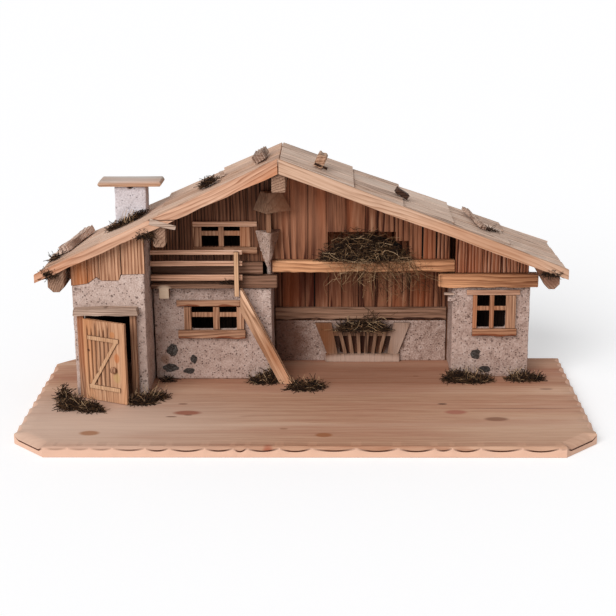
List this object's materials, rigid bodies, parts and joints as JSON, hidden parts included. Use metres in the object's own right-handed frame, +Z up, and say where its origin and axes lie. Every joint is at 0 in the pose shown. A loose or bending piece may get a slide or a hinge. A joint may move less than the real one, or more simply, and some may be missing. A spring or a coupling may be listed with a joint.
{
  "type": "nativity stable",
  "caption": "Wooden alpine nativity stable on a broad base board, with a plank gable roof, plastered towers, open bay, hay loft, balcony, stair and a hinged door.",
  "frame": {"origin": "middle of the base board's underside", "axes": "+X to the right along the open front, +Y away from the viewer towards the back wall, +Z up"},
  "size_m": [0.72, 0.34, 0.3355],
  "materials": {
    "pale_pine": "planed and lightly waxed",
    "aged_wood": "rough sawn and weathered",
    "dark_wood": "brushed and stained dark",
    "golden_wood": "brushed and scorched along the grain",
    "grey_wood": "rough sawn and greyed",
    "plaster": "coarse stippled plaster",
    "lime_plaster": "coarse white plaster",
    "hay": "dry matted strands",
    "steel_wire": "bare wire"
  },
  "bodies": {
    "stable": {"base_board": "pale_pine", "back_panel": "dark_wood", "left_tower_front_wall": "plaster", "left_tower_planks": "aged_wood", "left_tower_left_wall": "plaster", "left_tower_right_wall": "plaster", "door_lintel": "aged_wood", "door_jamb_left": "golden_wood", "door_jamb_right": "golden_wood", "door_hinge_pin": "steel_wire", "house_front_wall": "plaster", "house_right_wall": "plaster", "house_lower_log": "aged_wood", "house_upper_log": "aged_wood", "house_planks": "dark_wood", "lower_window_lintel": "golden_wood", "lower_window_sill": "golden_wood", "lower_window_casement": "aged_wood", "upper_window_lintel": "aged_wood", "upper_window_sill": "aged_wood", "upper_window_casement": "aged_wood", "balcony_floor": "aged_wood", "balcony_post": "aged_wood", "balcony_rail_bottom": "aged_wood", "balcony_rail_middle": "aged_wood", "balcony_rail_top": "aged_wood", "stair_near_stringer": "aged_wood", "stair_far_stringer": "aged_wood", "oriel_corbel": "plaster", "oriel_post": "aged_wood", "oriel_roof": "aged_wood", "back_wall_plaster": "plaster", "back_wall_rail": "aged_wood", "hay_rack": "aged_wood", "rack_hay": "hay", "loft_beam": "golden_wood", "loft_planks": "dark_wood", "loft_hay": "hay", "right_tower_front_wall": "plaster", "right_tower_left_wall": "plaster", "right_tower_right_wall": "plaster", "right_tower_planks": "dark_wood", "right_tower_beam": "golden_wood", "right_window_lintel": "aged_wood", "right_window_sill": "aged_wood", "right_window_casement": "golden_wood", "left_roof_planks": "grey_wood", "right_roof_planks": "grey_wood", "left_barge_board_upper": "pale_pine", "left_barge_board_lower": "pale_pine", "right_barge_board": "pale_pine", "ridge_purlin": "aged_wood", "middle_purlin": "aged_wood", "left_eave_purlin": "aged_wood", "right_eave_purlin": "aged_wood", "chimney_stack": "lime_plaster", "chimney_cap": "grey_wood"},
    "door": {"door_leaf": "golden_wood", "door_brace": "golden_wood", "door_knob": "aged_wood"}
  },
  "joints": [
    {"name": "door_hinge", "type": "hinge", "parent": "stable", "child": "door", "pos_m": [-0.2879, 0.0002, 0.07], "axis": [0, 0, -1], "range_deg": [-25, 23]}
  ]
}
